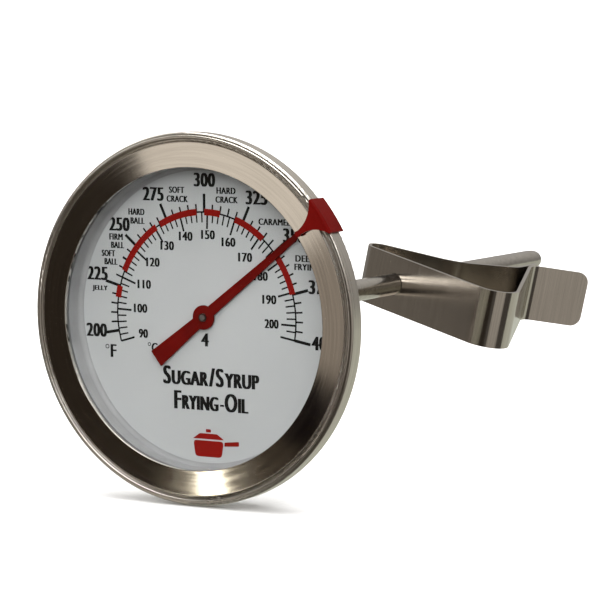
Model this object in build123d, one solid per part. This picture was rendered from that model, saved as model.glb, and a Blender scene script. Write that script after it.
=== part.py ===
from build123d import *
import math
import os

# A bimetal dial thermometer: a round stainless head with a glass window, a long thin
# stem that holds the sensing coil, a set marker on the rim and a sprung clip on the stem.
# Row frame, in millimetres: the stem's axis is Y, the dial faces -Y, its lettering is
# upright along +Z, and the origin is where the bare stem leaves its ferrule.

# ---- driving dimensions ----

# head: pressed ring, window and case
bezel_radius = 31.0
window_radius = 25.2
bezel_sheet = 0.6
bezel_dish = 0.3            # the ring's inner edge lies this far behind its outer edge
bezel_edge_round = 0.5
bezel_lip_round = 0.12
bead_radius = 0.28          # rolled bead round the front edge of the ring
bead_inset = 0.75
lens_thickness = 1.2
lens_seat = 3.6             # how far the glass reaches under the ring
lens_chamfer = 0.15
case_sheet = 0.6
case_corner = 5.0
bend_round = 0.3            # small bends pressed into the case
back_room = 5.8             # from the back of the dial plate to the case's back face
dial_ring_height = 3.3      # glass to dial plate
dial_ring_cove = 0.8
dial_ring_foot = 0.08       # the cove's thin front edge on the dial plate
dial_ring_wall = 1.95
dial_thickness = 0.4
dial_seat_width = 1.0       # shoulder in the case that the dial plate rests on
dial_hole_radius = 1.3
loose_fit = 0.1             # radial room for parts that drop into place

# ferrule and its nut, where the stem meets the case
ferrule_length = 6.0        # stands out behind the case
ferrule_radius = 4.0
ferrule_flange_radius = 6.5
ferrule_flange_thickness = 1.0
ferrule_chamfer = 0.4
nut_across_flats = 11.0
nut_thickness = 3.2
nut_chamfer_angle = 30.0

# stem
stem_radius = 1.985
stem_wall = 0.35
stem_exposed = 111.9        # origin to the tip
stem_tip_length = 5.0       # the rounded point
stem_tip_plug = 4.0

# movement: shaft, guides and coil
shaft_radius = 0.5
shaft_clearance = 0.05
guide_length = 3.0
coil_length = 36.0
coil_turns = 12
coil_strip_width = 1.1
coil_strip_thickness = 0.2
coil_wall_gap = 0.2         # between the coil and the inside of the stem
coil_ring_length = 1.2      # closed turn at each end of the coil
coil_ring_step = 0.02       # the closed turns stand this much proud of the strip
collar_length = 2.0
anchor_length = 2.0

# pointer
pointer_reading = 352.0     # degrees Fahrenheit shown at rest
pointer_thickness = 0.3
pointer_over_dial = 0.4
pointer_length = 23.2
pointer_tip_half_width = 0.5
pointer_root_half_width = 0.95
pointer_tail_length = 12.0
pointer_tail_half_width = 1.55
pointer_tip_round = 0.4
pointer_tail_round = 0.1
pointer_hub_radius = 2.05
pointer_pin_radius = 0.7    # neck of the bush, riveted over the pointer
pointer_pin_height = 0.3
pointer_bush_radius = 1.1
pointer_bush_length = 2.0   # behind the pointer

# set marker that slides round the rim
marker_angle = 35.3         # above +X, seen from the front
marker_thickness = 0.45
marker_clearance = 0.05
marker_half_width = 3.2
marker_neck_half_width = 0.4
marker_waist_half_width = 1.3
marker_waist_share = 0.353  # of the way in from the rim to the bulb
marker_bulb_radius = 0.5
marker_tip_inset = 0.2      # from the window's edge to the bulb
marker_round = 0.2
marker_edge_round = 0.4
marker_hook = 1.4           # how far it reaches inwards behind the ring

# clip: one bent strip with two holes for the stem
clip_turn = 12.8            # the clip's turn about the stem, downwards on the +X side
strip_thickness = 0.6
strip_width = 10.5
clip_hole_clearance = 0.1
clip_place = 52.6           # front leg's hole, behind the origin
front_leg_lean = 14.0       # degrees from square to the stem
back_leg_lean = 15.0
leg_spread = 8.1            # between the two holes
fold_radius = 2.45
far_bend_radius = 4.3
far_bend_reach = 27.75      # sharp corner of the far bend, from the stem's axis
return_lean = 22.0          # degrees of the returning strip from the stem's direction
back_leg_bend = 7.0         # where the back leg turns towards the tip
back_leg_bend_radius = 9.0
back_leg_rise = 57.3        # degrees of its second stretch
lip_place = 14.1            # the lip's distance from the stem's axis
lip_length = 8.0
lip_bend_radius = 4.0
grip_gap = 0.15             # closed gap between the lip and the valley
valley_radius = 3.0
tab_rise = 41.5             # degrees of the thumb tab from square to the stem
tab_length = 11.8
tab_corner_radius = 2.0

# dial scale: one degree of turn for each degree Fahrenheit
scale_middle = 300.0

# ---- places worked out from the dimensions ----

case_back_y = -ferrule_length
dial_back_y = case_back_y - back_room
dial_front_y = dial_back_y - dial_thickness
lens_back_y = dial_front_y - dial_ring_height
lens_front_y = lens_back_y - lens_thickness
bezel_front_y = lens_front_y - bezel_sheet - bezel_dish
flange_back_y = lens_back_y + case_sheet
bezel_back_y = flange_back_y + bezel_sheet
case_inner_back_y = case_back_y - case_sheet

lens_radius = window_radius + lens_seat
skirt_radius = bezel_radius - bezel_sheet
dial_ring_outer = window_radius + dial_ring_wall
case_bore = dial_ring_outer + loose_fit
case_rear_bore = case_bore - dial_seat_width
flange_radius = skirt_radius - loose_fit / 2
curl_radius = case_bore + case_sheet + bend_round + loose_fit

stem_bore = stem_radius - stem_wall
stem_head_y = case_inner_back_y - ferrule_flange_thickness
stem_barrel_end_y = stem_exposed - stem_tip_length

coil_radius = stem_bore - coil_wall_gap
coil_end_y = stem_barrel_end_y - stem_tip_plug - anchor_length
coil_start_y = coil_end_y - coil_length
lower_guide_y = coil_start_y - collar_length - 2 * guide_length
upper_guide_y = stem_head_y + ferrule_flange_thickness
middle_guide_y = (upper_guide_y + lower_guide_y) / 2
pointer_back_y = dial_front_y - pointer_over_dial
pointer_front_y = pointer_back_y - pointer_thickness
pin_front_y = pointer_front_y - pointer_pin_height
pointer_angle = 90.0 - (pointer_reading - scale_middle)

os.makedirs("parts", exist_ok=True)


def save(node, shape):
    """Name a sub-part and write it to its own file."""
    shape.label = node
    export_step(shape, f"parts/{node}.step")


def turned(points, radii=None):
    """Turn a closed outline of (radius, y) points about the stem's axis."""
    if radii is None:
        outline = Polyline(*points, close=True)
    else:
        outline = FilletPolyline(*points, radius=radii, close=True)
    return revolve(make_face(outline), Axis.Y)


def ring(inner, outer, start_y, end_y):
    """A plain ring with square corners, or a disc when the inner radius is 0."""
    return turned([(inner, start_y), (outer, start_y), (outer, end_y), (inner, end_y)])


def bezel_face_y(radius):
    """Height of the ring's front face, which slopes back towards the window."""
    slope = bezel_dish / (bezel_radius - window_radius)
    return bezel_front_y + (bezel_radius - radius) * slope


def on_dial(outline, angle, back_y, thickness):
    """Stand a flat outline up in the dial's plane, turned to an angle above +X."""
    plate = extrude(make_face(outline), amount=thickness)
    upright = Rot(90, 0, 0) * plate
    return Pos(0, back_y, 0) * Rot(0, -angle, 0) * upright


def make_bezel():
    """Pressed ring: sloping face, rolled bead, skirt and the curl behind the case's flange."""
    points = [
        (window_radius, bezel_face_y(window_radius)),
        (bezel_radius, bezel_front_y),
        (bezel_radius, bezel_back_y),
        (curl_radius, bezel_back_y),
        (curl_radius, flange_back_y),
        (skirt_radius, flange_back_y),
        (skirt_radius, bezel_face_y(skirt_radius) + bezel_sheet),
        (window_radius, bezel_face_y(window_radius) + bezel_sheet),
    ]
    radii = [bezel_lip_round, bezel_edge_round, bezel_edge_round, 0, 0, 0, 0, 0]
    body = turned(points, radii)
    bead_centre = bezel_radius - bead_inset
    bead = Pos(bead_centre, bezel_face_y(bead_centre), 0) * Circle(bead_radius)
    groove_centre = bead_centre - 2 * bead_radius
    groove = Pos(groove_centre, bezel_face_y(groove_centre), 0) * Circle(bead_radius)
    return body + revolve(bead, Axis.Y) - revolve(groove, Axis.Y)


def make_lens():
    """Flat glass disc with small edge chamfers."""
    edge = lens_chamfer
    return turned([
        (0, lens_front_y),
        (lens_radius - edge, lens_front_y),
        (lens_radius, lens_front_y + edge),
        (lens_radius, lens_back_y - edge),
        (lens_radius - edge, lens_back_y),
        (0, lens_back_y),
    ])


def make_lens_gasket():
    """Rubber band round the glass, filling the space out to the skirt."""
    front_y = bezel_face_y(lens_radius) + bezel_sheet
    return ring(lens_radius, flange_radius, front_y, lens_back_y)


def make_dial_ring():
    """Light ring between glass and dial plate, with a cove where it meets the plate."""
    wall_radius = window_radius + loose_fit
    foot_radius = wall_radius - dial_ring_cove
    cove_y = dial_front_y - dial_ring_foot - dial_ring_cove
    cove = CenterArc((foot_radius, cove_y), dial_ring_cove, start_angle=0, arc_size=90)
    sides = Polyline(
        (foot_radius, dial_front_y - dial_ring_foot),
        (foot_radius, dial_front_y),
        (dial_ring_outer, dial_front_y),
        (dial_ring_outer, lens_back_y),
        (wall_radius, lens_back_y),
        (wall_radius, cove_y),
    )
    return revolve(make_face([cove, sides]), Axis.Y)


def make_dial_plate():
    """Printed metal disc with the shaft's hole."""
    return ring(dial_hole_radius, dial_ring_outer, dial_front_y, dial_back_y)


def make_case_back():
    """Drawn cup: flange under the ring's curl, a shoulder for the dial and a rounded back."""
    wall = case_sheet
    points = [
        (case_bore, lens_back_y),
        (flange_radius, lens_back_y),
        (flange_radius, flange_back_y),
        (case_bore + wall, flange_back_y),
        (case_bore + wall, dial_back_y + wall),
        (case_rear_bore + wall, dial_back_y + wall),
        (case_rear_bore + wall, case_back_y),
        (ferrule_radius, case_back_y),
        (ferrule_radius, case_inner_back_y),
        (case_rear_bore, case_inner_back_y),
        (case_rear_bore, dial_back_y),
        (case_bore, dial_back_y),
    ]
    inner_corner = case_corner - wall
    radii = [0, 0, 0, bend_round, bend_round, bend_round, case_corner, 0, 0, inner_corner, 0, 0]
    return turned(points, radii)


def make_stem_ferrule():
    """Turned bush that joins stem to case: a flange inside and a neck through the back."""
    flange_front_y = case_inner_back_y - ferrule_flange_thickness
    edge = ferrule_chamfer
    return turned([
        (stem_radius, flange_front_y),
        (ferrule_flange_radius, flange_front_y),
        (ferrule_flange_radius, case_inner_back_y),
        (ferrule_radius, case_inner_back_y),
        (ferrule_radius, -edge),
        (ferrule_radius - edge, 0),
        (stem_radius, 0),
    ])


def make_case_nut():
    """Thin hexagon nut that draws the ferrule's flange against the case, chamfered behind."""
    corner = nut_across_flats / math.sqrt(3)
    nut_back_y = case_back_y + nut_thickness
    chamfer_drop = (corner - nut_across_flats / 2) * math.tan(math.radians(nut_chamfer_angle))
    blank = extrude(RegularPolygon(corner, 6), amount=nut_thickness)
    hexagon = Pos(0, nut_back_y, 0) * Rot(90, 0, 0) * blank
    envelope = turned([
        (ferrule_radius, case_back_y),
        (corner, case_back_y),
        (corner, nut_back_y - chamfer_drop),
        (nut_across_flats / 2, nut_back_y),
        (ferrule_radius, nut_back_y),
    ])
    return hexagon & envelope


def make_stem_tube():
    """Drawn stainless tube, open at both ends."""
    return ring(stem_bore, stem_radius, stem_head_y, stem_barrel_end_y)


def make_stem_tip():
    """Rounded point with a plug that fits the tube."""
    dome = Spline(
        (stem_radius, stem_barrel_end_y),
        (0, stem_exposed),
        tangents=((0, 1), (-1, 0)),
        tangent_scalars=(stem_tip_length / stem_radius, 1),
    )
    plug_y = stem_barrel_end_y - stem_tip_plug
    sides = Polyline(
        (0, stem_exposed),
        (0, plug_y),
        (stem_bore, plug_y),
        (stem_bore, stem_barrel_end_y),
        (stem_radius, stem_barrel_end_y),
    )
    return revolve(make_face([dome, sides]), Axis.Y)


def make_guide(start_y):
    """Brass bush pressed into the stem, in which the shaft turns."""
    return ring(shaft_radius + shaft_clearance, stem_bore, start_y, start_y + guide_length)


def make_bimetal_coil():
    """Bimetal strip wound as a helix, with a closed turn at each end."""
    first_y = coil_start_y + coil_ring_length
    last_y = coil_end_y - coil_ring_length
    inner = coil_radius - coil_strip_thickness
    pitch = (last_y - first_y) / coil_turns
    middle = coil_radius - coil_strip_thickness / 2
    helix = Rot(-90, 0, 0) * Helix(pitch, last_y - first_y, middle)
    helix = Pos(0, first_y, 0) * helix
    start = Plane(helix @ 0, x_dir=(0, 1, 0), z_dir=helix % 0)
    strip = start * Rectangle(coil_strip_width, coil_strip_thickness)
    winding = sweep(strip, path=helix, is_frenet=True)
    overlap = coil_strip_width
    step = coil_ring_step
    front = ring(inner - step, coil_radius + step, coil_start_y, first_y + overlap / 2)
    rear = ring(inner - step, coil_radius + step, last_y - overlap / 2, coil_end_y)
    return front + winding + rear


def make_coil_collar():
    """Brass collar on the shaft, inside the coil's first turn."""
    outer = coil_radius - coil_strip_thickness - coil_ring_step - shaft_clearance
    return ring(shaft_radius, outer, coil_start_y - collar_length / 2, coil_start_y + collar_length / 2)


def make_coil_anchor():
    """Plug pressed into the stem that holds the coil's last turn still."""
    start_y = coil_end_y
    return ring(0, stem_bore, start_y, start_y + anchor_length)


def make_pointer_shaft():
    """Long straight wire from the coil's collar to the pointer."""
    return ring(0, shaft_radius, pin_front_y, coil_start_y + collar_length / 2)


def make_pointer_bush():
    """Brass bush that carries the pointer, its neck riveted over at the front."""
    return turned([
        (shaft_radius, pin_front_y),
        (pointer_pin_radius, pin_front_y),
        (pointer_pin_radius, pointer_back_y),
        (pointer_bush_radius, pointer_back_y),
        (pointer_bush_radius, pointer_back_y + pointer_bush_length),
        (shaft_radius, pointer_back_y + pointer_bush_length),
    ])


def make_pointer():
    """Thin painted hand: slim arm, round hub and a tail that widens to a square end."""
    outline = FilletPolyline(
        (0, pointer_root_half_width),
        (pointer_length, pointer_tip_half_width),
        (pointer_length, -pointer_tip_half_width),
        (0, -pointer_root_half_width),
        (-pointer_tail_length, -pointer_tail_half_width),
        (-pointer_tail_length, pointer_tail_half_width),
        radius=[0, pointer_tip_round, pointer_tip_round, 0, pointer_tail_round, pointer_tail_round],
        close=True,
    )
    hand = on_dial(outline, pointer_angle, pointer_back_y, pointer_thickness)
    hub = ring(0, pointer_hub_radius, pointer_front_y, pointer_back_y)
    bore = ring(0, pointer_pin_radius, pointer_front_y, pointer_back_y)
    return hand + hub - bore


def make_set_marker():
    """Moulded marker that grips the rim: bulb, waisted arm, rim band and hook."""
    gap = marker_clearance
    inner = window_radius + marker_tip_inset + marker_bulb_radius
    outer = bezel_radius + gap + marker_thickness
    back = bezel_back_y + gap
    hook_radius = bezel_radius - marker_hook
    lift = bead_radius + gap
    section = [
        (inner - 2 * marker_bulb_radius, bezel_face_y(inner) - lift),
        (bezel_radius + gap, bezel_front_y - lift),
        (bezel_radius + gap, back),
        (hook_radius, back),
        (hook_radius, back + marker_thickness),
        (outer, back + marker_thickness),
        (outer, bezel_front_y - lift - marker_thickness),
        (inner - 2 * marker_bulb_radius, bezel_face_y(inner) - lift - marker_thickness),
    ]
    small, large = marker_round, marker_edge_round
    whole = turned(section, [0, 0, 0, 0, small, large, large, small])
    neck = marker_neck_half_width
    wide = marker_half_width
    waist = (bezel_radius - marker_waist_share * (bezel_radius - inner), marker_waist_half_width)
    outline = [
        Line((inner, -neck), (inner, neck)),
        ThreePointArc((inner, neck), waist, (bezel_radius, wide)),
        Line((bezel_radius, wide), (outer + 1, wide)),
        Line((outer + 1, wide), (outer + 1, -wide)),
        Line((outer + 1, -wide), (bezel_radius, -wide)),
        ThreePointArc((bezel_radius, -wide), (waist[0], -waist[1]), (inner, -neck)),
    ]
    depth = 4 * (bezel_back_y - bezel_front_y)
    cutter = on_dial(outline, marker_angle, bezel_back_y + depth / 2, depth)
    bulb_shape = Pos(inner, 0, 0) * Circle(marker_bulb_radius)
    bulb = extrude(bulb_shape, amount=depth)
    bulb = Pos(0, bezel_back_y + depth / 2, 0) * Rot(0, -marker_angle, 0) * Rot(90, 0, 0) * bulb
    return whole & (cutter + bulb)


def clip_points():
    """Sharp corners of the clip's path: (distance right of the stem, distance behind the origin)."""
    front_slope = math.tan(math.radians(front_leg_lean))
    back_slope = math.tan(math.radians(back_leg_lean))
    rise_slope = math.tan(math.radians(back_leg_rise))
    return_slope = math.tan(math.radians(return_lean))
    fold_x = -leg_spread / (front_slope + back_slope)
    fold = (fold_x, clip_place - front_slope * fold_x)
    far_bend = (far_bend_reach, clip_place - front_slope * far_bend_reach)
    knee = (back_leg_bend, clip_place + leg_spread + back_slope * back_leg_bend)
    lip_start = (lip_place, knee[1] + rise_slope * (lip_place - back_leg_bend))
    lip_end = (lip_place, lip_start[1] + lip_length)
    turn = 90 + return_lean - tab_rise
    centre_shift = valley_radius / math.cos(math.radians(turn / 2))
    middle_direction = math.radians((90 + return_lean + tab_rise) / 2)
    sag = centre_shift * math.sin(middle_direction) - valley_radius
    valley_x = lip_place + strip_thickness + grip_gap - sag
    valley = (valley_x, far_bend[1] + (far_bend_reach - valley_x) / return_slope)
    tab_direction = math.radians(tab_rise)
    tab_end = (
        valley_x + tab_length * math.cos(tab_direction),
        valley[1] + tab_length * math.sin(tab_direction),
    )
    return [lip_end, lip_start, knee, fold, far_bend, valley, tab_end]


def make_pan_clip():
    """Spring strip bent into two legs, a loop, a gripping valley and a thumb tab."""
    corners = clip_points()
    radii = [
        lip_bend_radius,
        back_leg_bend_radius,
        fold_radius,
        far_bend_radius,
        valley_radius,
    ]
    path = FilletPolyline(*corners, radius=radii)
    start = Plane(path @ 0, x_dir=(0, 0, 1), z_dir=path % 0)
    strip = sweep(start * Rectangle(strip_width, strip_thickness), path=path)
    tab_end = corners[-1]
    end_edges = strip.edges().filter_by(lambda edge: is_tab_corner(edge, tab_end))
    strip = fillet(end_edges, tab_corner_radius)
    strip = Rot(0, clip_turn, 0) * strip
    hole_radius = stem_radius + clip_hole_clearance
    hole = ring(0, hole_radius, clip_place - leg_spread, clip_place + 2 * leg_spread)
    return strip - hole


def is_tab_corner(edge, tab_end):
    """True for the two short edges through the strip at the tab's outer corners."""
    middle = edge @ 0.5
    near_end = math.hypot(middle.X - tab_end[0], middle.Y - tab_end[1]) < strip_thickness / 2
    at_side = abs(abs(middle.Z) - strip_width / 2) < 0.01
    short = abs(edge.length - strip_thickness) < 0.01
    return near_end and at_side and short


save("bezel", make_bezel())
save("lens", make_lens())
save("lens_gasket", make_lens_gasket())
save("dial_ring", make_dial_ring())
save("dial_plate", make_dial_plate())
save("case_back", make_case_back())
save("stem_ferrule", make_stem_ferrule())
save("case_nut", make_case_nut())
save("stem_tube", make_stem_tube())
save("stem_tip", make_stem_tip())
save("upper_guide", make_guide(upper_guide_y))
save("middle_guide", make_guide(middle_guide_y))
save("lower_guide", make_guide(lower_guide_y))
save("bimetal_coil", make_bimetal_coil())
save("coil_collar", make_coil_collar())
save("coil_anchor", make_coil_anchor())
save("pointer_shaft", make_pointer_shaft())
save("pointer_bush", make_pointer_bush())
save("pointer", make_pointer())
save("set_marker", make_set_marker())
save("pan_clip", make_pan_clip())
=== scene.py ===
import math

import bmesh
import bpy
import numpy as np
from mathutils import Matrix, Vector


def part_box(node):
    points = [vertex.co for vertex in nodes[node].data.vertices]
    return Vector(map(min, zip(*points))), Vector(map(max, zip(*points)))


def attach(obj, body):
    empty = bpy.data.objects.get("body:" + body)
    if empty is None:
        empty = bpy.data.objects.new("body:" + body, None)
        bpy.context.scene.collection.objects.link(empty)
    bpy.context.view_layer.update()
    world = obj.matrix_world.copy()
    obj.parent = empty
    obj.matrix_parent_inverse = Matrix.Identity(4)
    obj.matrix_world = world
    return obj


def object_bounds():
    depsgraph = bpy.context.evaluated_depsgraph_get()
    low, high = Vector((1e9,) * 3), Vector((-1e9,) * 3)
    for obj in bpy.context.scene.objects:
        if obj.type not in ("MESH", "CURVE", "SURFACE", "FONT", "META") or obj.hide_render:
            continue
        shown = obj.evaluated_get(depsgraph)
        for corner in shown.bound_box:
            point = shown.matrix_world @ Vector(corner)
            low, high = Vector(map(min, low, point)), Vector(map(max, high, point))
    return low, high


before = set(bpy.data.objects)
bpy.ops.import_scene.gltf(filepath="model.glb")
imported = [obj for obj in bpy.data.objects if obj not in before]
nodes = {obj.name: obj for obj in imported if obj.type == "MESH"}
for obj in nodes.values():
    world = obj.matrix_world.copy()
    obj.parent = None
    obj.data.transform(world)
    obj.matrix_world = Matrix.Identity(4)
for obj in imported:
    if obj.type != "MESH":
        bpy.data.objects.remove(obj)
cad_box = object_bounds()


# ---- Floor, lights and camera ----
# The thermometer stands on a plain pale sweep, with the dial upright. Soft lamps light it
# from above, and wide dark and pale cards far round it are there for the steel to mirror.

def new_material(name):
    """An empty node material: (material, its nodes, its links, its Principled shader)."""
    material = bpy.data.materials.new(name)
    material.use_nodes = True
    tree = material.node_tree
    return material, tree.nodes, tree.links, tree.nodes["Principled BSDF"]


def noise(tree_nodes, links, vector, scale, detail=3.0, roughness=0.5):
    """Noise read at a vector socket; returns its value socket."""
    texture = tree_nodes.new("ShaderNodeTexNoise")
    texture.inputs["Scale"].default_value = scale
    texture.inputs["Detail"].default_value = detail
    texture.inputs["Roughness"].default_value = roughness
    links.new(vector, texture.inputs["Vector"])
    return texture.outputs["Fac"]


def spread(tree_nodes, links, value, low, high, start=0.3, end=0.7):
    """A value between start and end, carried onto the range from low to high."""
    ramp = tree_nodes.new("ShaderNodeMapRange")
    for name, number in (("From Min", start), ("From Max", end), ("To Min", low), ("To Max", high)):
        ramp.inputs[name].default_value = number
    links.new(value, ramp.inputs["Value"])
    return ramp.outputs["Result"]


def two_tones(tree_nodes, links, value, first, second, start=0.3, end=0.7):
    """A colour that runs from the first tone to the second as a value rises."""
    ramp = tree_nodes.new("ShaderNodeValToRGB")
    for point, place, tone in zip(ramp.color_ramp.elements, (start, end), (first, second)):
        point.position = place
        point.color = (*tone, 1.0)
    links.new(value, ramp.inputs["Fac"])
    return ramp.outputs["Color"]


def relief(tree_nodes, links, height, depth):
    """A bump from a height socket, whose full range stands for a depth in metres."""
    bump = tree_nodes.new("ShaderNodeBump")
    bump.inputs["Distance"].default_value = depth
    links.new(height, bump.inputs["Height"])
    return bump


def object_place(tree_nodes):
    """The surface point's own coordinates, in metres."""
    return tree_nodes.new("ShaderNodeTexCoord").outputs["Object"]


def object_finish(name, dark, pale, polish, depth, tint, grain=None, metallic=0.0, specular=0.5):
    """A finish of two close tones. tint is the (scale, detail) of the noise that mixes the
    tones and grain that of the noise for roughness and relief, which may be the same one.
    polish is the roughness range and depth the relief in metres."""
    material, mat_nodes, links, shader = new_material(name)
    tones = noise(mat_nodes, links, object_place(mat_nodes), *tint)
    skin = noise(mat_nodes, links, object_place(mat_nodes), *grain) if grain else tones
    links.new(two_tones(mat_nodes, links, tones, dark, pale), shader.inputs["Base Color"])
    links.new(spread(mat_nodes, links, skin, *polish), shader.inputs["Roughness"])
    links.new(relief(mat_nodes, links, skin, depth).outputs[0], shader.inputs["Normal"])
    shader.inputs["Metallic"].default_value = metallic
    shader.inputs["Specular IOR Level"].default_value = specular
    return material


def grid_mesh(name, points):
    """A mesh from a grid of points, shape (rows, columns, 3), with a face between each four
    neighbours."""
    rows, columns = points.shape[:2]
    number = np.arange(rows * columns).reshape(rows, columns)
    faces = np.stack([number[:-1, :-1], number[1:, :-1], number[1:, 1:], number[:-1, 1:]], -1)
    return mesh_from(name, points.reshape(-1, 3), faces.reshape(-1, 4).tolist())


def mesh_from(name, points, faces):
    """A mesh object from an array of points and the faces between them, at the origin."""
    mesh = bpy.data.meshes.new(name)
    mesh.from_pydata(points.tolist(), [], faces)
    mesh.update()
    piece = bpy.data.objects.new(name, mesh)
    bpy.context.collection.objects.link(piece)
    return piece


floor_gap = 0.0002
floor_level = cad_box[0][2] - floor_gap
sweep_front, sweep_half_width, sweep_height = -2.0, 2.5, 3.0
bend_start, bend_radius = 1.2, 0.8
bend = np.linspace(0, math.pi / 2, 24)
sweep_y = np.concatenate([
    [sweep_front], bend_start + bend_radius * np.sin(bend), [bend_start + bend_radius],
])
sweep_z = floor_level + np.concatenate([
    [0.0], bend_radius - bend_radius * np.cos(bend), [sweep_height],
])
sweep_across = np.array([[-sweep_half_width, sweep_half_width]])
sweep = grid_mesh("studio_sweep", np.stack(np.broadcast_arrays(
    sweep_across, sweep_y[:, None], sweep_z[:, None],
), -1))
sweep.data.polygons.foreach_set("use_smooth", [True] * len(sweep.data.polygons))
material, mat_nodes, links, shader = new_material("pale_paper")
shader.inputs["Roughness"].default_value = 0.9
shader.inputs["Specular IOR Level"].default_value = 0.1
paper_grain = noise(mat_nodes, links, object_place(mat_nodes), 900, 4)
paper_tone = two_tones(mat_nodes, links, paper_grain, (0.86, 0.86, 0.86), (0.9, 0.9, 0.9))
links.new(paper_tone, shader.inputs["Base Color"])
sweep.data.materials.append(material)
sweep.visible_glossy = False
sweep.visible_transmission = False

head_centre = np.array([0.0, -0.0178, 0.0])


def around_head(turn, rise, distance):
    """Points seen from the head's centre: turn is the angle from straight ahead of the dial
    towards -X, rise the angle above the horizon, both in degrees. A point lies the distance
    away along (-sin turn * cos rise, -cos turn * cos rise, sin rise)."""
    a, b = np.broadcast_arrays(np.radians(turn), np.radians(rise))
    towards = np.stack([-np.sin(a) * np.cos(b), -np.cos(a) * np.cos(b), np.sin(b)], -1)
    return head_centre + distance * towards


def card(name, turns, rises, glow, distance=1.4):
    """A far card that only shows in what the steel mirrors: the patch of a wide sphere round
    the head between two turns and two rises, in degrees, glowing with one tone."""
    points = around_head(np.linspace(*turns, 12)[None, :], np.linspace(*rises, 8)[:, None], distance)
    piece = grid_mesh(name, points)
    material, mat_nodes, links, shader = new_material(name)
    shader.inputs["Base Color"].default_value = (0.0, 0.0, 0.0, 1.0)
    shader.inputs["Specular IOR Level"].default_value = 0.0
    shader.inputs["Emission Color"].default_value = (*glow, 1.0)
    shader.inputs["Emission Strength"].default_value = 1.0
    piece.data.materials.append(material)
    material.cycles.emission_sampling = "NONE"
    piece.visible_camera = False
    piece.visible_diffuse = False
    piece.visible_volume_scatter = False


card("dark_card_near", (-25, 29.5), (-60, 50), (0.030, 0.023, 0.017))
card("dark_card_middle", (29.5, 42), (-11, 50), (0.055, 0.043, 0.031))
card("dark_card_side", (42, 56), (-3.5, 50), (0.006, 0.004, 0.004))
card("pale_card_low", (29.5, 56), (-60, -11), (0.92, 0.85, 0.76))
card("pale_card_side", (42, 56), (-11, -3.5), (0.34, 0.295, 0.25))
card("pale_card_left", (56, 80), (-40, 25), (0.20, 0.18, 0.157))
card("pale_card_right", (-85, -38), (-30, 30), (0.42, 0.39, 0.35))
card("pale_card_back", (120, 240), (-70, -2), (0.58, 0.59, 0.51))
card("bright_strip_card", (33.4, 35.4), (2.5, 13), (7.5, 7.0, 5.8), 1.3)
card("brown_strip_card", (9, 13), (-13, 4), (0.16, 0.135, 0.11), 1.3)


def soft_lamp(name, place, target, size, power):
    """A square area lamp at a place, facing a target."""
    lamp = bpy.data.lights.new(name, "AREA")
    lamp.shape = "SQUARE"
    lamp.size = size
    lamp.energy = power
    holder = bpy.data.objects.new(name, lamp)
    bpy.context.collection.objects.link(holder)
    holder.location = place
    aim = Vector(target) - Vector(place)
    holder.rotation_euler = aim.to_track_quat("-Z", "Y").to_euler()
    return holder


soft_lamp("overhead_lamp", (0.1, -0.1, 1.1), (0.0, 0.0, 0.0), 1.2, 16.0)
soft_lamp("camera_side_lamp", (0.9, -0.9, 0.7), (0.0, 0.0, 0.0), 0.6, 6.0)
soft_lamp("far_side_lamp", (-1.1, 0.4, 0.6), (0.0, 0.03, 0.0), 0.7, 4.0)
soft_lamp("sweep_lamp", (0.0, 0.9, 1.6), (0.0, 2.0, 0.4), 1.2, 30.0)
dial_lamp = soft_lamp("dial_lamp", (0.35, -1.15, 0.45), (0.0, 0.0, 0.0), 0.6, 6.3)
dial_lamp.visible_glossy = False

world = bpy.data.worlds.new("studio_air")
bpy.context.scene.world = world
world.use_nodes = True
air_nodes, air_links = world.node_tree.nodes, world.node_tree.links
air_direction = air_nodes.new("ShaderNodeSeparateXYZ")
air_links.new(air_nodes.new("ShaderNodeTexCoord").outputs["Generated"], air_direction.inputs[0])
air_height = spread(air_nodes, air_links, air_direction.outputs["Z"], 0.0, 1.0, -1.0, 1.0)
air_tone = two_tones(air_nodes, air_links, air_height, (0.07, 0.062, 0.055), (0.62, 0.6, 0.57), 0.36, 0.8)
air_links.new(air_tone, air_nodes["Background"].inputs["Color"])
air_nodes["Background"].inputs["Strength"].default_value = 1.0
bpy.context.scene.view_settings.view_transform = "Standard"

camera_data = bpy.data.cameras.new("camera")
camera_data.lens = 180.0
camera_data.sensor_width = 36.0
camera_data.clip_start = 0.01
camera = bpy.data.objects.new("camera", camera_data)
bpy.context.collection.objects.link(camera)
camera_place = Vector((0.2668, -0.4321, 0.0526))
camera_right = Vector((0.8607, 0.509, -0.0069)).normalized()
camera_up = Vector((-0.0449, 0.0894, 0.995)).normalized()
camera_back = camera_right.cross(camera_up).normalized()
camera_up = camera_back.cross(camera_right)
camera.matrix_world = Matrix([
    [camera_right[i], camera_up[i], camera_back[i], camera_place[i]] for i in range(3)
] + [[0.0, 0.0, 0.0, 1.0]])
bpy.context.scene.camera = camera


# ---- Bezel, case back, ferrule and nut ----
# Pressed and turned stainless steel. The ring is brushed round its axis, so its shine runs
# out in rays, and fine turning lines show on it; the case and the ferrule have the same lines.

def finish_node(name, material):
    """Puts one material in every slot of a CAD node."""
    for place in nodes[name].material_slots:
        place.material = material


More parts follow.
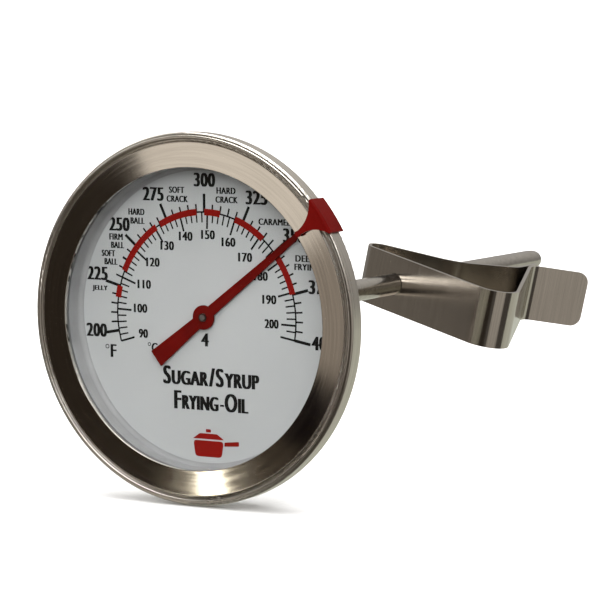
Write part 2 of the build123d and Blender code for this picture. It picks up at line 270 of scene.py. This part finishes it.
def ring_coordinates(tree_nodes, links, fine, around, along):
    """Coordinates for lines that run round the Y axis: the distance from the axis and the
    place along it are stretched by fine and along, and the angle round it by around."""
    place = tree_nodes.new("ShaderNodeSeparateXYZ")
    links.new(object_place(tree_nodes), place.inputs[0])
    x, y, z = place.outputs
    flat = tree_nodes.new("ShaderNodeCombineXYZ")
    links.new(x, flat.inputs["X"])
    links.new(z, flat.inputs["Y"])
    size = tree_nodes.new("ShaderNodeVectorMath")
    size.operation = "LENGTH"
    links.new(flat.outputs[0], size.inputs[0])
    unit = tree_nodes.new("ShaderNodeVectorMath")
    unit.operation = "NORMALIZE"
    links.new(flat.outputs[0], unit.inputs[0])
    scaled = tree_nodes.new("ShaderNodeVectorMath")
    scaled.operation = "SCALE"
    scaled.inputs["Scale"].default_value = around
    links.new(unit.outputs[0], scaled.inputs[0])
    level = tree_nodes.new("ShaderNodeMath")
    level.operation = "MULTIPLY"
    level.inputs[1].default_value = fine
    links.new(size.outputs["Value"], level.inputs[0])
    depth = tree_nodes.new("ShaderNodeMath")
    depth.operation = "MULTIPLY_ADD"
    depth.inputs[1].default_value = along
    links.new(y, depth.inputs[0])
    links.new(level.outputs[0], depth.inputs[2])
    lift = tree_nodes.new("ShaderNodeCombineXYZ")
    links.new(depth.outputs[0], lift.inputs["Z"])
    whole = tree_nodes.new("ShaderNodeVectorMath")
    whole.operation = "ADD"
    links.new(scaled.outputs[0], whole.inputs[0])
    links.new(lift.outputs[0], whole.inputs[1])
    return whole.outputs[0], size.outputs["Value"]


def round_axis(tree_nodes, links):
    """The direction round the Y axis at each point: (z, 0, -x), made a unit length."""
    place = tree_nodes.new("ShaderNodeVectorMath")
    place.operation = "CROSS_PRODUCT"
    place.inputs[0].default_value = (0.0, 1.0, 0.0)
    links.new(object_place(tree_nodes), place.inputs[1])
    unit = tree_nodes.new("ShaderNodeVectorMath")
    unit.operation = "NORMALIZE"
    links.new(place.outputs[0], unit.inputs[0])
    return unit.outputs[0]


def turned_steel(name, tone, polish, stretch, dish=0.0, dull_from=None):
    """Stainless steel with fine lines round the Y axis. polish is the roughness range, stretch
    how far the shine is drawn out across the lines, and dish a slight cone pressed in a face.
    Past the radius dull_from the steel is duller, as on a rolled edge."""
    material, mat_nodes, links, shader = new_material(name)
    lines, radius = ring_coordinates(mat_nodes, links, 2600, 2.2, 2600)
    fine = noise(mat_nodes, links, lines, 1.0, 2, 0.5)
    broad_lines, _ = ring_coordinates(mat_nodes, links, 420, 1.2, 420)
    broad = noise(mat_nodes, links, broad_lines, 1.0, 3, 0.5)
    cloud = noise(mat_nodes, links, object_place(mat_nodes), 120, 3)
    dark = tuple(0.88 * part for part in tone)
    links.new(two_tones(mat_nodes, links, fine, dark, tone, 0.35, 0.65), shader.inputs["Base Color"])
    mixed = mat_nodes.new("ShaderNodeMath")
    mixed.operation = "MULTIPLY_ADD"
    mixed.inputs[1].default_value = 0.5
    links.new(fine, mixed.inputs[0])
    half = mat_nodes.new("ShaderNodeMath")
    half.operation = "MULTIPLY"
    half.inputs[1].default_value = 0.5
    links.new(cloud, half.inputs[0])
    links.new(half.outputs[0], mixed.inputs[2])
    gloss = spread(mat_nodes, links, mixed.outputs[0], *polish, 0.35, 0.65)
    if dull_from:
        edge = spread(mat_nodes, links, radius, 0.0, 0.2, dull_from, dull_from + 0.0002)
        duller = mat_nodes.new("ShaderNodeMath")
        links.new(gloss, duller.inputs[0])
        links.new(edge, duller.inputs[1])
        gloss = duller.outputs[0]
    links.new(gloss, shader.inputs["Roughness"])
    shader.inputs["Metallic"].default_value = 1.0
    shader.inputs["Anisotropic"].default_value = stretch
    links.new(round_axis(mat_nodes, links), shader.inputs["Tangent"])
    bump = relief(mat_nodes, links, fine, 0.0000014)
    wave = relief(mat_nodes, links, broad, 0.0000035)
    links.new(bump.outputs[0], wave.inputs["Normal"])
    if dish:
        cone = relief(mat_nodes, links, radius, dish)
        links.new(wave.outputs[0], cone.inputs["Normal"])
        wave = cone
    links.new(wave.outputs[0], shader.inputs["Normal"])
    return material


rolled_edge_from = 0.0292
bezel_steel = turned_steel(
    "brushed_bezel_steel", (0.64, 0.60, 0.545), (0.065, 0.11), 0.2, dish=0.1, dull_from=rolled_edge_from,
)
case_steel = turned_steel("drawn_case_steel", (0.58, 0.55, 0.51), (0.24, 0.34), 0.4)
finish_node("bezel", bezel_steel)
for node in ("case_back", "stem_ferrule", "case_nut"):
    finish_node(node, case_steel)


# ---- Window and its gasket ----
# A flat disc of clear glass, pressed against the ring by a black rubber band that goes round
# its edge. The glass is clean, with a faint green tint and smooth faces.

material, mat_nodes, links, shader = new_material("clear_window_glass")
shader.inputs["Base Color"].default_value = (0.985, 0.995, 0.99, 1.0)
shader.inputs["Transmission Weight"].default_value = 1.0
shader.inputs["IOR"].default_value = 1.47
smear = noise(mat_nodes, links, object_place(mat_nodes), 60, 3)
links.new(spread(mat_nodes, links, smear, 0.0, 0.02, 0.45, 0.75), shader.inputs["Roughness"])
ray = mat_nodes.new("ShaderNodeLightPath")
clear = mat_nodes.new("ShaderNodeBsdfTransparent")
clear.inputs["Color"].default_value = (0.95, 0.96, 0.955, 1.0)
choice = mat_nodes.new("ShaderNodeMixShader")
links.new(ray.outputs["Is Shadow Ray"], choice.inputs["Fac"])
links.new(shader.outputs[0], choice.inputs[1])
links.new(clear.outputs[0], choice.inputs[2])
links.new(choice.outputs[0], mat_nodes["Material Output"].inputs["Surface"])
finish_node("lens", material)

finish_node("lens_gasket", object_finish(
    "black_gasket_rubber", (0.012, 0.012, 0.013), (0.03, 0.029, 0.028), (0.55, 0.75), 0.00002,
    tint=(1500, 4),
))


# ---- Dial ring and dial plate ----
# The ring is moulded in pale plastic and spaces the glass from the dial. The plate is a
# stamped disc with a baked coat of pale grey-white enamel, very slightly uneven.

finish_node("dial_ring", object_finish(
    "pale_ring_plastic", (0.27, 0.268, 0.272), (0.33, 0.328, 0.332), (0.3, 0.42), 0.000006,
    tint=(220, 3), grain=(2500, 2),
))
finish_node("dial_plate", object_finish(
    "baked_dial_enamel", (0.44, 0.445, 0.45), (0.48, 0.485, 0.49), (0.32, 0.42), 0.000008,
    tint=(45, 3), grain=(1400, 2),
))


# ---- Printed scale ----
# Screen-printed in black and red on the dial: one thin line round the scale, Fahrenheit ticks
# outside it, Celsius ticks inside it, and thick red bands over the stages of cooking.

dial_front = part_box("dial_plate")[0][1]
ink_back = dial_front + 0.000005
ink_thickness = 0.00002
band_back = ink_back - 0.000002
band_thickness = 0.00004
line_radius = 0.01755


def printed_ink(name, dark, pale, polish):
    """A thin coat of ink: two close tones with small specks, slightly glossy."""
    return object_finish(name, dark, pale, polish, 0.000002, tint=(4000, 3), specular=0.06)


black_ink = printed_ink("black_dial_ink", (0.0035, 0.0035, 0.004), (0.008, 0.008, 0.009), (0.4, 0.55))
red_ink = printed_ink("red_dial_ink", (0.20, 0.0040, 0.0028), (0.235, 0.0065, 0.0048), (0.35, 0.5))


def fahrenheit_angle(degrees):
    """The angle above +X, in radians, at which the dial shows a temperature."""
    return math.radians(90.0 - (degrees - 300.0))


def celsius_angle(degrees):
    """The same for a Celsius temperature, turned into Fahrenheit first."""
    return fahrenheit_angle(degrees * 1.8 + 32.0)


def line_solids(name, lines, material, back=ink_back, thickness=ink_thickness):
    """A piece of raised ink lines. Each line is (points across the dial, half width): its path
    is carried by a flat four-cornered profile, square to the path, and its ends are capped.
    back is the place along Y of the ink's back face."""
    points, faces, start = [], [], 0
    for path, half_width in lines:
        path = np.asarray(path, float)
        run = np.gradient(path, axis=0)
        run /= np.linalg.norm(run, axis=1, keepdims=True)
        side = np.stack([-run[:, 1], run[:, 0]], 1) * half_width
        left, right = path + side, path - side
        front = back - thickness
        corners = np.stack([
            np.insert(left, 1, front, axis=1),
            np.insert(right, 1, front, axis=1),
            np.insert(right, 1, back, axis=1),
            np.insert(left, 1, back, axis=1),
        ], 1)
        count = len(path)
        number = start + np.arange(count * 4).reshape(count, 4)
        turned = np.roll(number, -1, axis=1)
        sides = np.stack([number[:-1], number[1:], turned[1:], turned[:-1]], -1).reshape(-1, 4)
        caps = np.array([number[0], number[-1][::-1]])
        points.append(corners.reshape(-1, 3))
        faces.append(np.vstack([sides, caps]))
        start += count * 4
    return ink_piece(name, np.vstack(points), np.vstack(faces).tolist(), material)


def ink_piece(name, points, faces, material):
    """A printed piece on the dial's body, with doubled points merged and faces outwards."""
    piece = mesh_from(name, points, faces)
    work = bmesh.new()
    work.from_mesh(piece.data)
    bmesh.ops.remove_doubles(work, verts=work.verts, dist=2e-7)
    bmesh.ops.recalc_face_normals(work, faces=work.faces)
    work.to_mesh(piece.data)
    work.free()
    piece.data.materials.append(material)
    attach(piece, "thermometer")
    return piece


def arc(radius, first, last, steps):
    """Points on a circle round the dial's centre between two angles."""
    angle = np.linspace(first, last, steps)
    return np.stack([radius * np.cos(angle), radius * np.sin(angle)], 1)


def tick(angle, inner, outer):
    """A straight line along a radius."""
    along = np.array([[math.cos(angle), math.sin(angle)]])
    return np.array([[inner], [outer]]) * along


line_solids("dial_scale_line", [
    (arc(line_radius, celsius_angle(90.0), fahrenheit_angle(400.0), 181), 0.00014),
], black_ink)

long_tick, short_tick = (0.0206, 0.00025), (0.0189, 0.00015)    # outer end, half width
fahrenheit_ticks = []
for degrees in range(200, 401, 5):
    outer, half = short_tick if degrees % 25 else long_tick
    if degrees == 240:
        half = 0.0002
    fahrenheit_ticks.append((tick(fahrenheit_angle(degrees), line_radius, outer), half))
line_solids("dial_fahrenheit_ticks", fahrenheit_ticks, black_ink)

long_tick, short_tick = (0.01475, 0.00017), (0.0158, 0.00013)    # inner end, half width
celsius_ticks = []
for degrees in range(90, 203, 2):
    inner, half = short_tick if degrees % 10 else long_tick
    celsius_ticks.append((tick(celsius_angle(degrees), inner, line_radius), half))
celsius_ticks.append((tick(fahrenheit_angle(400.0), 0.0148, line_radius), long_tick[1]))
line_solids("dial_celsius_ticks", celsius_ticks, black_ink)

band_spans = [(218.5, 225), (234, 267), (270, 295), (300, 310), (320, 340), (351, 375)]
band_half_width = 0.00055
points_per_degree = 1.5
red_bands = []
for low, high in band_spans:
    steps = max(4, int((high - low) * points_per_degree))
    path = arc(line_radius, fahrenheit_angle(low), fahrenheit_angle(high), steps)
    red_bands.append((path, band_half_width))
line_solids("dial_red_bands", red_bands, red_ink, band_back, band_thickness)


# ---- Lettering on the dial ----
# Narrow upright figures and capitals in black ink, printed level and not turned round the
# dial. The words name stages and kinds of cooking.

def letter_outline(text):
    """A text as flat solid letters: (points, faces), in the built-in face."""
    curve = bpy.data.curves.new("letters", "FONT")
    curve.body = text
    curve.size = 1.0
    curve.extrude = 0.5
    curve.space_character = 1.1
    curve.resolution_u = 4
    holder = bpy.data.objects.new("letters", curve)
    bpy.context.collection.objects.link(holder)
    bpy.context.view_layer.update()
    mesh = bpy.data.meshes.new_from_object(holder.evaluated_get(bpy.context.evaluated_depsgraph_get()))
    bpy.data.objects.remove(holder)
    points = np.empty(len(mesh.vertices) * 3)
    mesh.vertices.foreach_get("co", points)
    faces = [list(face.vertices) for face in mesh.polygons]
    bpy.data.meshes.remove(mesh)
    return points.reshape(-1, 3), faces


print_step = 0.000001    # keeps the repeated prints of a label off one another's faces


def label(text, x, z, height, weight=0.0, narrow=1.0, width=None, anchor=0.5):
    """One label: its letters scaled to a height and narrowed, or fitted to a width, with the
    anchor share of its width at x and the middle of its height at z, in metres on the dial.
    Its strokes are made wider by printing it again to each side, weight metres away."""
    points, faces = letter_outline(text)
    low, high = points.min(0), points.max(0)
    scale = height / (high[1] - low[1])
    across = narrow * scale if width is None else width / (high[0] - low[0])
    placed = np.empty_like(points)
    placed[:, 0] = x + (points[:, 0] - low[0] - anchor * (high[0] - low[0])) * across
    placed[:, 2] = z + (points[:, 1] - (low[1] + high[1]) / 2) * scale
    placed[:, 1] = ink_back - ink_thickness * (points[:, 2] - low[2]) / (high[2] - low[2])
    if not weight:
        return placed, faces
    step = np.array([weight, -print_step, 0.0])
    prints = [placed - step, placed, placed + step]
    count = len(placed)
    return np.vstack(prints), [[k * count + c for c in face] for k in range(3) for face in faces]


def lettering(name, labels, material):
    """All of a group's labels as one piece of ink."""
    points, faces, start = [], [], 0
    for placed, outline in labels:
        points.append(placed)
        faces += [[start + corner for corner in face] for face in outline]
        start += len(placed)
    return ink_piece(name, np.vstack(points), faces, material)


fahrenheit_places = {
    200: (-21.9, -3.2), 225: (-21.6, 6.5), 250: (-17.0, 15.0), 275: (-10.1, 20.3),
    300: (0.1, 22.9), 325: (10.2, 20.2), 350: (17.3, 14.2), 375: (22.1, 5.9), 400: (22.6, -3.3),
}
lettering("dial_fahrenheit_figures", [
    label(str(number), x / 1000, z / 1000, 0.0023, 0.00017, width=0.0039)
    for number, (x, z) in fahrenheit_places.items()
], black_ink)

celsius_places = {
    90: (-12.4, -3.35), 100: (-12.9, 0.9), 110: (-12.1, 5.0), 120: (-10.3, 8.8), 130: (-7.4, 11.7),
    140: (-3.7, 13.4), 150: (0.7, 13.8), 160: (4.7, 12.7), 170: (7.9, 10.3), 180: (10.9, 7.3),
    190: (12.5, 3.5), 200: (12.9, -0.5),
}
lettering("dial_celsius_figures", [
    label(str(number), x / 1000, z / 1000, 0.0015, 0.00011, width=0.0025 * len(str(number)) / 3)
    for number, (x, z) in celsius_places.items()
], black_ink)

stage_words = [
    ("JELLY", -21.1, 3.9, 3.0), ("SOFT", -19.3, 10.0, 2.6), ("BALL", -18.8, 8.6, 2.5),
    ("FIRM", -17.7, 12.85, 2.6), ("BALL", -17.4, 11.45, 2.5), ("HARD", -13.5, 17.2, 3.1),
    ("BALL", -13.3, 15.7, 2.7), ("SOFT", -5.4, 21.1, 2.9), ("CRACK", -5.3, 19.6, 4.1),
    ("HARD", 4.3, 21.2, 3.6), ("CRACK", 4.4, 19.7, 4.2), ("CARAMEL", 13.6, 16.3, 6.0),
    ("DEEP", 19.3, 10.5, 3.4), ("FRYING", 19.8, 9.1, 4.8),
]
lettering("dial_stage_words", [
    label(text, x / 1000, z / 1000, 0.00106, 0.00008, width=width / 1000)
    for text, x, z, width in stage_words
], black_ink)


def degree_ring(x, z, radius):
    """The small ring of a degree sign, as a line that closes on itself."""
    return arc(radius, 0.0, 2 * math.pi, 25) + np.array([x, z])


lettering("dial_unit_letters", [
    label("F", -0.0185, -0.0066, 0.0022, 0.00014, 0.8),
    label("C", -0.01015, -0.0056, 0.0015, 0.0001, 0.8),
    label("4", -0.0001, -0.0038, 0.0022, 0.00016, 0.85),
], black_ink)
line_solids("dial_degree_signs", [
    (degree_ring(-0.01975, -0.0059, 0.00032), 0.00007),
    (degree_ring(-0.0112, -0.0051, 0.00026), 0.00006),
], black_ink)


title_heights = {"tall": 0.0031, "short": 0.0024}
title_gap = 0.00028
hyphen_width, hyphen_height, hyphen_level = 0.0008, 0.000312, 0.001008


def small_capitals(words, x, z, narrow, weight):
    """A title in capitals of two heights on one base line. words is a list of (text, size);
    each piece of text starts where the last one ended, and the whole is centred on x."""
    parts, reach = [], 0.0
    for text, size in words:
        if text == "-":
            placed, faces = label(text, 0.0, hyphen_level, hyphen_height, width=hyphen_width, anchor=0.0)
        else:
            height = title_heights[size]
            placed, faces = label(text, 0.0, height / 2, height, weight, narrow, anchor=0.0)
        placed[:, 0] += reach
        reach = placed[:, 0].max() + title_gap
        parts.append((placed, faces))
    for placed, _ in parts:
        placed[:, 0] += x - reach / 2
        placed[:, 2] += z
    return parts


lettering("dial_title", small_capitals(
    [("S", "tall"), ("UGAR", "short"), ("/", "tall"), ("S", "tall"), ("YRUP", "short")],
    0.0012, -0.0116, 0.72, 0.0002,
) + small_capitals(
    [("F", "tall"), ("RYING", "short"), ("-", "short"), ("O", "tall"), ("IL", "short")],
    0.0012, -0.0157, 0.66, 0.0002,
), black_ink)


# ---- Pan sign on the dial ----
# A small red cooking pan with a lid is printed under the title, as a plain sign for the
# kitchen. It is a flat patch of the same red ink, with a thin gap between lid and pan.

def flat_patch(name, outlines, material):
    """A piece of ink from closed outlines on the dial, each a row of (x, z) points in metres.
    Every outline is repeated one ink thickness in front; both are filled with one face, and a
    band of four-cornered faces joins each point and the next to the two in front of them."""
    points, faces, start = [], [], 0
    for outline in outlines:
        count = len(outline)
        back = np.insert(outline, 1, ink_back, axis=1)
        front = np.insert(outline, 1, ink_back - ink_thickness, axis=1)
        here = start + np.arange(count)
        after = np.roll(here, -1)
        points += [back, front]
        faces += [here.tolist(), (here[::-1] + count).tolist()]
        faces += np.stack([here, after, after + count, here + count], 1).tolist()
        start += 2 * count
    return ink_piece(name, np.vstack(points), faces, material)


def rounded(corner_points, radius, steps=6):
    """A closed outline with each corner cut and rounded: a quadratic curve runs from a point
    one radius before the corner to one a radius after it."""
    corner_points = np.asarray(corner_points, float)
    before = np.roll(corner_points, 1, axis=0) - corner_points
    after = np.roll(corner_points, -1, axis=0) - corner_points
    start = corner_points + before / np.linalg.norm(before, axis=1, keepdims=True) * radius
    end = corner_points + after / np.linalg.norm(after, axis=1, keepdims=True) * radius
    t = np.linspace(0, 1, steps)[None, :, None]
    curve = (1 - t) ** 2 * start[:, None] + 2 * t * (1 - t) * corner_points[:, None] + t ** 2 * end[:, None]
    return curve.reshape(-1, 2)


pan_middle = np.array([0.0004, -0.0213])
pan_body = np.array([(-3.0, 0.55), (3.0, 0.55), (2.6, -2.2), (-2.6, -2.2)]) / 1000
pan_lid = np.array([(-3.1, 0.8), (3.1, 0.8), (1.7, 1.75), (-1.7, 1.75)]) / 1000
pan_handle = np.array([(3.15, 0.45), (6.0, 0.75), (6.0, -0.05), (3.1, -0.25)]) / 1000
pan_knob = np.array([(-0.5, 1.95), (0.5, 1.95), (0.5, 2.5), (-0.5, 2.5)]) / 1000
flat_patch("dial_pan_sign", [
    rounded(pan_body, 0.0007) + pan_middle,
    rounded(pan_lid, 0.0003) + pan_middle,
    rounded(pan_handle, 0.0002) + pan_middle,
    rounded(pan_knob, 0.0002) + pan_middle,
], red_ink)


# ---- Pointer, its bush and the shaft ----
# The pointer is stamped from thin sheet and sprayed red. It is riveted on a darkened steel
# bush, and the bush is pressed on the long bright wire that comes up from the coil.

def sprayed_red(name, dark, pale, polish, depth):
    """Red paint with a faint orange-peel surface and slow changes of tone."""
    return object_finish(
        name, dark, pale, polish, depth, tint=(160, 3), grain=(3000, 2), specular=0.04,
    )


def turned_finish(name, dark, pale, polish, line_pitch):
    """Bare metal with fine turning lines round the Y axis, line_pitch lines to the metre."""
    material, mat_nodes, links, shader = new_material(name)
    lines, _ = ring_coordinates(mat_nodes, links, line_pitch, 4.0, line_pitch)
    turning = noise(mat_nodes, links, lines, 1.0, 3)
    links.new(two_tones(mat_nodes, links, turning, dark, pale), shader.inputs["Base Color"])
    links.new(spread(mat_nodes, links, turning, *polish), shader.inputs["Roughness"])
    links.new(relief(mat_nodes, links, turning, 0.000003).outputs[0], shader.inputs["Normal"])
    shader.inputs["Metallic"].default_value = 1.0
    return material


finish_node("pointer", sprayed_red(
    "red_pointer_paint", (0.095, 0.0010, 0.0006), (0.122, 0.0018, 0.0010), (0.38, 0.5), 0.000006,
))
finish_node("pointer_bush", turned_finish(
    "darkened_pin_steel", (0.035, 0.033, 0.031), (0.09, 0.085, 0.08), (0.28, 0.42), 12000,
))
finish_node("pointer_shaft", object_finish(
    "drawn_shaft_wire", (0.20, 0.19, 0.18), (0.34, 0.33, 0.31), (0.32, 0.45), 0.000002,
    tint=(2200, 3), metallic=1.0,
))


# ---- Set marker ----
# Moulded in red plastic with a slightly shiny skin. It snaps over the rim of the ring and is
# pushed round by hand, so it shows fine rubbed specks.

finish_node("set_marker", sprayed_red(
    "red_marker_plastic", (0.075, 0.0010, 0.0006), (0.10, 0.0018, 0.0010), (0.3, 0.44), 0.00001,
))


# ---- Stem, tip and what is inside it ----
# A thin drawn stainless tube with a rounded plug in its end. Inside turn the shaft and the
# two-metal coil, in small brass bushes.

stem_steel = turned_steel("polished_stem_steel", (0.55, 0.52, 0.475), (0.16, 0.24), 0.35)
for node in ("stem_tube", "stem_tip"):
    finish_node(node, stem_steel)

guide_brass = turned_finish(
    "turned_guide_brass", (0.62, 0.42, 0.16), (0.75, 0.54, 0.24), (0.22, 0.36), 9000,
)
for node in ("upper_guide", "middle_guide", "lower_guide", "coil_collar", "coil_anchor"):
    finish_node(node, guide_brass)
finish_node("bimetal_coil", object_finish(
    "two_metal_strip", (0.42, 0.36, 0.28), (0.56, 0.50, 0.40), (0.3, 0.45), 0.000004,
    tint=(700, 4), metallic=1.0,
))


# ---- Clip ----
# One strip of spring steel, cut from rolled stock whose lines run across its width, then
# bent into a loop, a gripping valley and a thumb tab. It is bare, with a soft brushed shine.

clip_turn = math.radians(12.8)
material, mat_nodes, links, shader = new_material("brushed_clip_steel")
strip_place = mat_nodes.new("ShaderNodeMapping")
strip_place.vector_type = "POINT"
strip_place.inputs["Rotation"].default_value = (0.0, -clip_turn, 0.0)
links.new(object_place(mat_nodes), strip_place.inputs["Vector"])
stretched = mat_nodes.new("ShaderNodeMapping")
stretched.inputs["Scale"].default_value = (7000.0, 7000.0, 60.0)
links.new(strip_place.outputs[0], stretched.inputs["Vector"])
brushing = noise(mat_nodes, links, stretched.outputs[0], 1.0, 4, 0.6)
cloud = noise(mat_nodes, links, object_place(mat_nodes), 140, 3)
strip_tone = two_tones(mat_nodes, links, brushing, (0.50, 0.465, 0.42), (0.60, 0.56, 0.51), 0.35, 0.65)
links.new(strip_tone, shader.inputs["Base Color"])
links.new(spread(mat_nodes, links, cloud, 0.12, 0.19), shader.inputs["Roughness"])
links.new(relief(mat_nodes, links, brushing, 0.0000015).outputs[0], shader.inputs["Normal"])
shader.inputs["Metallic"].default_value = 1.0
shader.inputs["Anisotropic"].default_value = 0.35
across = mat_nodes.new("ShaderNodeCombineXYZ")
across.inputs["X"].default_value = math.sin(clip_turn)
across.inputs["Z"].default_value = math.cos(clip_turn)
links.new(across.outputs[0], shader.inputs["Tangent"])
finish_node("pan_clip", material)
